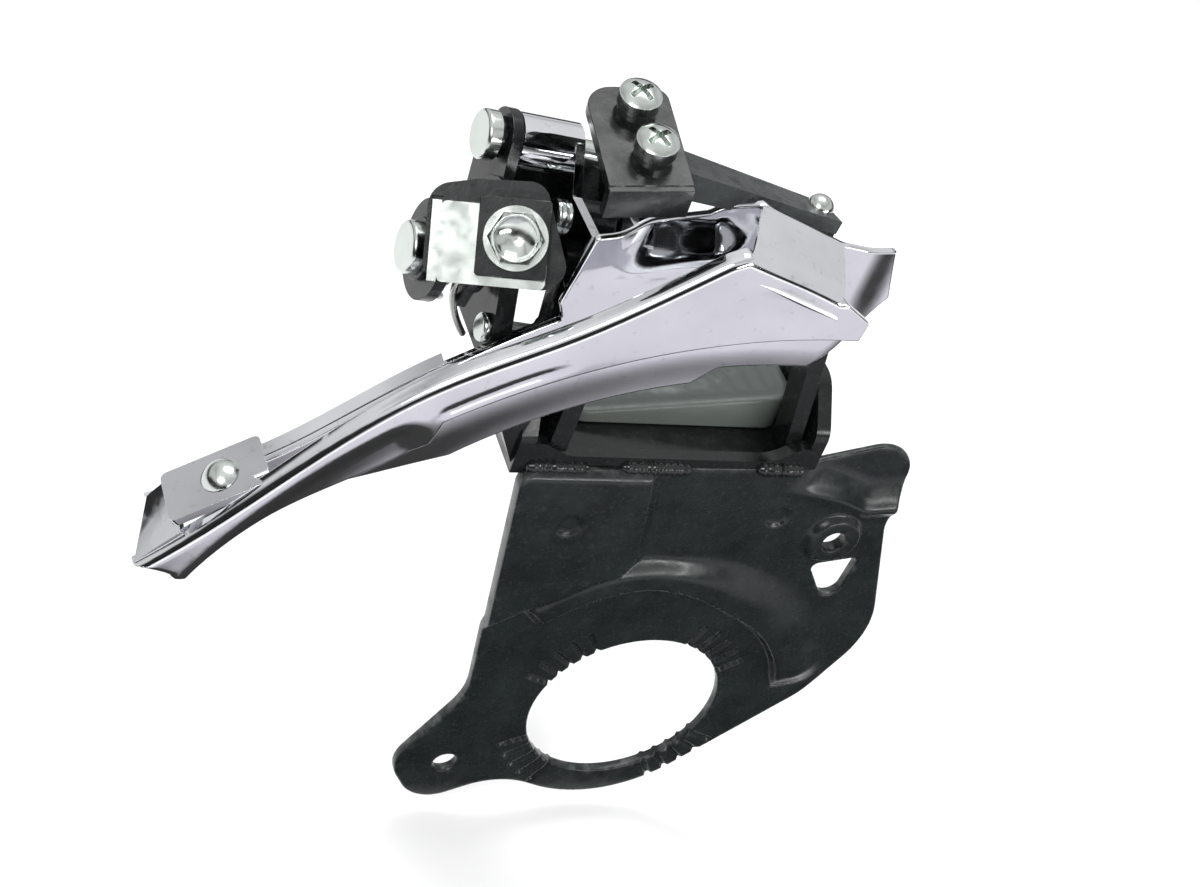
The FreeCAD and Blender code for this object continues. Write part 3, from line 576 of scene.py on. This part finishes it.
def chain_distance(points, chain):
    """Distance from each point to an open chain."""
    return segment_distance(points, zip(chain[:-1], chain[1:]))


def rolled(distance):
    """Fall of a face that rolls away over its last stretch."""
    near = (LIP - distance).clip(0, LIP)
    return LIP - np.sqrt(LIP ** 2 - near ** 2)


def add_outer_cage():
    loops = flat_loops("outer_cage_plate", 1, OUTER_FACE)
    edge = resampled(loops[0], 0.8)
    top = chain_of(edge, lambda p: math.hypot(*p) > 103.2 and p[0] < -5.0)

    def swell(points):
        radius, angle = crank_polar(points)
        belly = 0.45 * np.exp(-((radius - 101.0) / 3.5) ** 2) * step_up(angle, 100.0, 122.0)
        deep = 1.1 * step_up(angle, 127.5, 131.0) * (1 - step_up(radius, 99.0, 103.0))
        front_dish = 0.5 * np.exp(-((points[:, 0] + 14.0) / 9.0) ** 2 - ((points[:, 1] - 103.0) / 4.0) ** 2)
        line = 0.35 * np.exp(-((radius - 100.6) / 0.8) ** 2) * step_up(angle, 114.0, 119.0)
        line = line * (1 - step_up(angle, 125.5, 127.0))
        return belly - deep - front_dish - line

    def front(points):
        return -OUTER_FACE + swell(points) - rolled(chain_distance(points, top))

    def back(points):
        flange = 1.6 * (1 - step_up(chain_distance(points, top), 1.2, 1.7))
        return -OUTER_FACE - SHEET + swell(points) - flange

    def fine(points):
        radius, _ = crank_polar(points)
        return (chain_distance(points, top) < 3.0) | (abs(radius - 100.6) < 2.4)

    mesh = pressed_mesh("outer_cage_plate", loops, front, back, side_place, 0.9, 0.25, fine,
                        (0.45, 0.7, 1.0, 1.3, 1.6))
    add_piece("outer_cage_look", "outer_cage_plate", mesh)
    add_piece("cage_bridge_look", "outer_cage_plate", bridge_mesh())


BRIDGE_OUTER = ((-22.7, 111.6), (-5.2, 105.0))
BRIDGE_INNER = ((-17.0, 112.8), (-1.6, 107.0))
BRIDGE_BEND = 3.4           # radius of the bend at the outer plate
BRIDGE_TURN = 1.1           # and at the inner plate
BRIDGE_THICK = 1.15


def bend_fall(reach, radius):
    """Drop of a round bend at a distance from where it ends."""
    near = min(max(radius - reach, 0.0), radius)
    return radius - math.sqrt(radius ** 2 - near ** 2)


def bridge_mesh():
    """Front cross piece, bent round from the outer plate and down on to the inner one."""
    wide, deep = 28, 34
    start, end = OUTER_FACE + 0.1, INNER_FACE + SHEET
    outer, inner = [], []
    for i in range(wide + 1):
        share = i / wide
        a = np.array(BRIDGE_OUTER[0]) * (1 - share) + np.array(BRIDGE_OUTER[1]) * share
        b = np.array(BRIDGE_INNER[0]) * (1 - share) + np.array(BRIDGE_INNER[1]) * share
        row_top, row_low = [], []
        for k in range(deep + 1):
            v = k / deep
            y = start + (end - start) * v
            spot = a * (1 - v) + b * v
            fall = bend_fall(y - start, BRIDGE_BEND) + bend_fall(end - y, BRIDGE_TURN)
            z = spot[1] + 0.12 + 0.25 * math.sin(math.pi * v) - fall
            row_top.append((spot[0], y, z))
            row_low.append((spot[0], min(max(y, start + 0.9), end - 0.5), z - BRIDGE_THICK))
        outer.append(row_top)
        inner.append(row_low)
    verts = [p for rows in (outer, inner) for row in rows for p in row]
    span = deep + 1
    layer = (wide + 1) * span
    faces = []
    for i in range(wide):
        for k in range(deep):
            a = i * span + k
            faces.append((a, a + 1, a + span + 1, a + span))
            faces.append((layer + a, layer + a + span, layer + a + span + 1, layer + a + 1))
    for i in range(wide):
        for k in (0, deep):
            a = i * span + k
            faces.append((a, a + span, layer + a + span, layer + a))
    for k in range(deep):
        for i in (0, wide):
            a = i * span + k
            faces.append((a, a + 1, layer + a + 1, layer + a))
    return closed_mesh("cage_bridge", verts, faces, 45)


def add_inner_cage():
    loops = flat_loops("inner_cage_plate", 1, INNER_FACE)[:1]

    def swell(points):
        radius, _ = crank_polar(points)
        x, z = points[:, 0], points[:, 1]
        belly = 0.5 * np.exp(-((radius - 88.0) / 5.0) ** 2)
        lean = 3.0 * step_up(z, 98.5, 108.5) * step_up(x, -38.0, -31.0) * (1 - step_up(x, -22.0, -15.0))
        nose = 1.8 * step_up(x, 2.0, 11.0)
        valley = 0.5 * np.exp(-((z - 98.5 - 0.25 * (x + 25.0)) / 2.2) ** 2) * step_up(x, -34.0, -26.0)
        valley = valley * (1 - step_up(x, -12.0, -5.0))
        return belly - lean - nose - valley

    def front(points):
        return -INNER_FACE + swell(points)

    def back(points):
        return -INNER_FACE - SHEET + swell(points)

    mesh = pressed_mesh("inner_cage_plate", loops, front, back, side_place, 0.9, 0.3,
                        extra=(0.42, 0.7, 1.05))
    add_piece("inner_cage_look", "inner_cage_plate", mesh)
    past_plate = INNER_FACE + SHEET + 0.02
    add_bevelled("cage_arms_look", "inner_cage_plate", 0.25, steps=3, cut_below=past_plate)


# ---------------------------------------------------------------- pad and welds
PAD_BASE = 59.0
PAD_TILT = 7.5
PAD_RIM = 2.0               # width of the raised rim
PAD_CROWN = 0.28            # fall of the rim towards the pad's edge
BEAD_RADIUS = 1.2
BEAD_RIPPLE = 1.15          # spacing of the ripples along a bead
BEAD_WAVE = 0.09            # their height, as a share of the radius
BEAD_UNEVEN = 0.05          # chance differences between rings, likewise
BEAD_STEP = 0.22            # spacing of the rings of points
BEAD_ROUND = 14             # points in a ring
BEAD_INSIDE = 0.12          # how far a bead reaches into the plate


def add_pad():
    low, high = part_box("frame_pad")
    loops = flat_loops("frame_pad", 2, PAD_BASE)
    rear = low.x / MM

    def top(points):
        distance = edge_distance(points, [resampled(loops[0], 0.8)])
        ramp = PAD_BASE + 1.85 + (points[:, 0] + 30.0) * math.tan(math.radians(PAD_TILT))
        tray = 0.45 * step_up(distance, PAD_RIM - 0.5, PAD_RIM + 0.3)
        crown = PAD_CROWN * (1 - step_up(distance, 0.0, PAD_RIM))
        ribs = 0.10 * np.cos((points[:, 0] - rear) * 2.2) * step_up(distance, PAD_RIM + 0.4, PAD_RIM + 1.2)
        return ramp - tray - crown + ribs

    def bottom(points):
        return np.full(len(points), PAD_BASE)

    mesh = pressed_mesh("frame_pad", loops, top, bottom, plan_place, 0.7, 0.5)
    add_piece("frame_pad_look", "frame_pad", mesh)


def bead_spans(places):
    """First and last x of each weld bead in the CAD."""
    spans = []
    for face in frame["nodes"]["weld_beads"].data.polygons:
        side = places[list(face.vertices), 0]
        joined = [side.min(), side.max()]
        for span in [s for s in spans if s[0] <= joined[1] + 0.05 and s[1] >= joined[0] - 0.05]:
            joined = [min(joined[0], span[0]), max(joined[1], span[1])]
            spans.remove(span)
        spans.append(joined)
    return sorted(spans)


def bead_ring(x, height, radius):
    """Ring of points round a bead, nearly flat on the side that meets the plate."""
    ring = []
    for k in range(BEAD_ROUND):
        angle = 2 * math.pi * k / BEAD_ROUND
        depth = math.sin(angle) * (radius if math.sin(angle) < 0 else BEAD_INSIDE)
        ring.append((x, depth, height + radius * math.cos(angle)))
    return ring


def add_welds():
    """Rippled beads where the CAD has plain ones."""
    places = millimetres("weld_beads")
    verts, faces = [], []
    for first, last in bead_spans(places):
        near = places[(places[:, 0] >= first - 0.01) & (places[:, 0] <= last + 0.01)]
        height = (near[:, 2].min() + near[:, 2].max()) / 2
        rings = int((last - first) / BEAD_STEP)
        base = len(verts)
        for i in range(rings + 1):
            share = i / rings
            x = first + (last - first) * share
            end = math.sqrt(max(0.0, 1 - (2 * share - 1) ** 10))
            wave = BEAD_WAVE * math.cos(2 * math.pi * (x - first) / BEAD_RIPPLE)
            ripple = 1 + wave + BEAD_UNEVEN * rng.standard_normal()
            verts += bead_ring(x, height, BEAD_RADIUS * max(end, 0.05) * ripple)
        for i in range(rings):
            for k in range(BEAD_ROUND):
                a = base + i * BEAD_ROUND + k
                b = base + i * BEAD_ROUND + (k + 1) % BEAD_ROUND
                faces.append((a, b, b + BEAD_ROUND, a + BEAD_ROUND))
        faces.append(tuple(base + k for k in reversed(range(BEAD_ROUND))))
        faces.append(tuple(base + rings * BEAD_ROUND + k for k in range(BEAD_ROUND)))
    add_piece("weld_beads_look", "weld_beads", closed_mesh("weld_beads", verts, faces, 60))


# ---------------------------------------------------------------- all pieces
EDGE_WIDTHS = {
    "linkage_bracket": 0.45, "front_post": 0.4, "limit_screw_plate": 0.4, "cover_blade": 0.4,
    "cover_rivet": 0.1, "low_limit_screw": 0.12, "high_limit_screw": 0.12, "inner_link": 0.35,
    "cable_arm": 0.4, "cable_nut": 0.18, "outer_link": 0.3, "cable_clamp_plate": 0.2,
    "clamp_washer": 0.15, "cable_bolt": 0.14, "lower_inner_pin": 0.12, "lower_outer_pin": 0.12,
    "upper_inner_pin": 0.12, "upper_outer_pin": 0.12, "lower_inner_clip": 0.08,
    "upper_inner_clip": 0.08, "lower_outer_clip": 0.08, "pin_washer": 0.15, "upper_bush": 0.12,
    "tail_bridge": 0.25, "tail_fold": 0.2, "tail_rivet": 0.1, "return_spring": 0.05,
}
CORNER_RADII = {"tail_bridge": 1.6}
add_plate()
add_outer_cage()
add_inner_cage()
add_pad()
add_welds()
for node, width in EDGE_WIDTHS.items():
    add_bevelled(node + "_look", node, width, corner=CORNER_RADII.get(node, 0.0))

# ---------------------------------------------------------------- floor, light, camera
FLOOR_Z = cad_low.z - 0.004
FLOOR_SIZE = 3.0
FLOOR_PARTS = 24
FLAG_CORNER = (-0.14, -0.004)       # the corner at the back on the left
FLAG_STEPS = (0.055, -0.045)
FLAG_POINTS = 9
SKY_STRENGTH = 0.85
SKY_PALE = 1.15             # level that the camera sees
SKY_SWAY = 0.13             # how unevenly the sky's bands run
SKY_TILT = 0.10             # how much lower the bands lie towards the back
SKY_BANDS = ((0.0, 0.5), (0.36, 0.4), (0.40, 0.02), (0.62, 0.04), (0.67, 0.9), (0.76, 1.0),
             (0.82, 0.6), (0.88, 1.05), (1.0, 1.2))
CAMERA_PLACE = Vector((-0.16772, -0.23228, 0.27913))
CAMERA_RIGHT = Vector((0.91186, -0.27790, 0.30214))
CAMERA_UP = Vector((-0.02935, 0.68999, 0.72322))
CAMERA_LENS = 67.68


def level_card(name, across, along, height):
    """Level sheet over a grid of x and y places."""
    verts = [(x, y, height) for x in across for y in along]
    count = len(along)
    faces = []
    for i in range(len(across) - 1):
        for k in range(count - 1):
            a = i * count + k
            faces.append((a, a + count, a + count + 1, a + 1))
    mesh = bpy.data.meshes.new(name)
    mesh.from_pydata(verts, [], faces)
    card = bpy.data.objects.new(name, mesh)
    bpy.context.collection.objects.link(card)
    return card


def add_floor():
    places = [FLOOR_SIZE * (i / FLOOR_PARTS - 0.5) for i in range(FLOOR_PARTS + 1)]
    floor = level_card("floor", places, places, FLOOR_Z)
    made = Finish("floor paper", 0.0, 0.9)
    tone = made.mix(made.spread(made.noise(60.0), 0.0, 1.0), (0.94, 0.94, 0.94), (0.96, 0.96, 0.96))
    made.join(tone, made.shader.inputs["Base Color"])
    made.bump([(made.noise(2.0), 0.02)])
    floor.data.materials.append(made.material)


def add_flag():
    """Studio card in front of the object, dark close to it, seen only as a reflection."""
    across = [FLAG_CORNER[0] + FLAG_STEPS[0] * i for i in range(FLAG_POINTS)]
    along = [FLAG_CORNER[1] + FLAG_STEPS[1] * i for i in range(FLAG_POINTS)]
    flag = level_card("flag", across, along, FLOOR_Z + 0.001)
    made = Finish("flag cloth", 0.0, 0.9)
    parts = made.node("ShaderNodeSeparateXYZ")
    made.join(made.place, parts.inputs[0])
    fade = made.spread(parts.outputs["Y"], 1.0, 0.0, -0.132, -0.078)
    made.join(made.mix(fade, (0.02, 0.02, 0.02), (0.56, 0.54, 0.59)), made.shader.inputs["Base Color"])
    made.bump([(made.noise(2.0), 0.02)])
    flag.data.materials.append(made.material)
    flag.visible_camera = False
    flag.visible_diffuse = False
    flag.visible_shadow = False


def add_light(name, place, aim, size, watts):
    lamp = bpy.data.lights.new(name, "AREA")
    lamp.shape = "RECTANGLE"
    lamp.size, lamp.size_y = size
    lamp.energy = watts
    holder = bpy.data.objects.new(name, lamp)
    holder.location = place
    holder.rotation_euler = (Vector(aim) - Vector(place)).to_track_quat("-Z", "Y").to_euler()
    bpy.context.collection.objects.link(holder)


def add_world():
    """Soft sky with a dark band round the horizon for the chrome to reflect, pale to the camera."""
    world = bpy.data.worlds.new("studio")
    world.use_nodes = True
    bpy.context.scene.world = world
    sky = Nodes(world.node_tree)
    where = sky.node("ShaderNodeTexCoord").outputs["Generated"]
    parts = sky.node("ShaderNodeSeparateXYZ")
    sky.join(where, parts.inputs[0])
    cloud = sky.node("ShaderNodeTexNoise")
    cloud.inputs["Scale"].default_value = 1.6
    cloud.inputs["Detail"].default_value = 0.0
    sky.join(where, cloud.inputs["Vector"])
    total = sky.node("ShaderNodeMath")
    sky.join(sky.spread(parts.outputs["Z"], 0.0, 1.0, -1.0, 1.0), total.inputs[0])
    sky.join(sky.spread(cloud.outputs["Fac"], -SKY_SWAY, SKY_SWAY, 0.0, 1.0), total.inputs[1])
    lean = sky.node("ShaderNodeMath", operation="MULTIPLY_ADD")
    lean.inputs[1].default_value = SKY_TILT
    sky.join(parts.outputs["Y"], lean.inputs[0])
    sky.join(total.outputs[0], lean.inputs[2])
    ramp = sky.node("ShaderNodeValToRGB")
    sky.join(lean.outputs[0], ramp.inputs["Fac"])
    while len(ramp.color_ramp.elements) < len(SKY_BANDS):
        ramp.color_ramp.elements.new(0.5)
    for element, (position, level) in zip(ramp.color_ramp.elements, SKY_BANDS):
        element.position = position
        element.color = (level, level, level * 1.01, 1.0)
    seen = sky.node("ShaderNodeLightPath").outputs["Is Camera Ray"]
    background = sky.tree.nodes["Background"]
    colour = sky.mix(seen, ramp.outputs["Color"], (SKY_PALE, SKY_PALE, SKY_PALE))
    sky.join(colour, background.inputs["Color"])
    background.inputs["Strength"].default_value = SKY_STRENGTH


def add_camera():
    turn = Matrix((CAMERA_RIGHT, CAMERA_UP, CAMERA_RIGHT.cross(CAMERA_UP))).transposed()
    camera = bpy.data.cameras.new("camera")
    camera.lens = CAMERA_LENS
    camera.sensor_width = 36.0
    camera.clip_start = 0.01
    holder = bpy.data.objects.new("camera", camera)
    holder.matrix_world = Matrix.Translation(CAMERA_PLACE) @ turn.to_4x4()
    bpy.context.collection.objects.link(holder)
    bpy.context.scene.camera = holder


CENTRE = (cad_low + cad_high) / 2
add_floor()
add_flag()
add_light("key", CENTRE + Vector((-0.5, -0.45, 0.65)), CENTRE, (0.34, 0.28), 3.4)
add_light("strip", CENTRE + Vector((0.30, -0.66, 0.20)), CENTRE, (0.55, 0.11), 2.4)
add_light("top", CENTRE + Vector((0.1, 0.25, 0.8)), CENTRE, (0.5, 0.4), 3.2)
add_world()
add_camera()
bpy.context.scene.view_settings.view_transform = "Standard"
